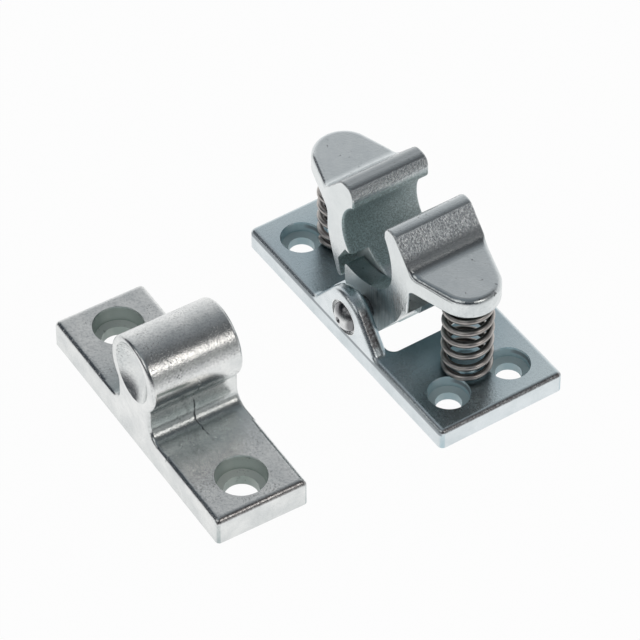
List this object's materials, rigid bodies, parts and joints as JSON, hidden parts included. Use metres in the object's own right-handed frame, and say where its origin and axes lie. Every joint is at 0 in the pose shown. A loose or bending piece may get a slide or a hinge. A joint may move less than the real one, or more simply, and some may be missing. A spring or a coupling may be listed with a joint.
{
  "type": "door retainer",
  "caption": "Sprung twin-jaw catch on a screw-down base plate, with the round-headed striker that its jaws snap over to hold a door open.",
  "frame": {"origin": "centre of the catch's underside, midway between its screw holes", "axes": "+X along the catch's base plate and across the pivot pin, +Y along the pivot pin and away from the striker, +Z out of the surface that both halves are screwed to, towards the jaws' mouth"},
  "size_m": [0.07, 0.0821, 0.036],
  "materials": {
    "zinc_plate": "bright zinc plated casting, satin",
    "zinc_pin": "bright zinc plated steel",
    "zinc_jaw": "bright zinc plated casting with fine drag lines",
    "spring_wire": "plain drawn spring wire",
    "zinc_striker": "bright zinc plated casting, mottled with dark specks"
  },
  "bodies": {
    "base": {"base_plate": "zinc_plate", "pivot_pin": "zinc_pin", "left_spring": "spring_wire", "right_spring": "spring_wire", "striker": "zinc_striker"},
    "left_jaw": {"left_jaw": "zinc_jaw"},
    "right_jaw": {"right_jaw": "zinc_jaw"}
  },
  "joints": [
    {"name": "right_jaw_hinge", "type": "hinge", "parent": "base", "child": "right_jaw", "pos_m": [0, 0, 0.0081], "axis": [0, 1, 0], "range_deg": [0, 15], "stiffness_Nm_per_rad": 3, "springref_deg": -5.16, "deforming": ["right_spring"]},
    {"name": "left_jaw_hinge", "type": "hinge", "parent": "base", "child": "left_jaw", "pos_m": [0, 0, 0.0081], "axis": [0, -1, 0], "range_deg": [0, 15], "stiffness_Nm_per_rad": 3, "springref_deg": -5.16, "deforming": ["left_spring"]}
  ]
}
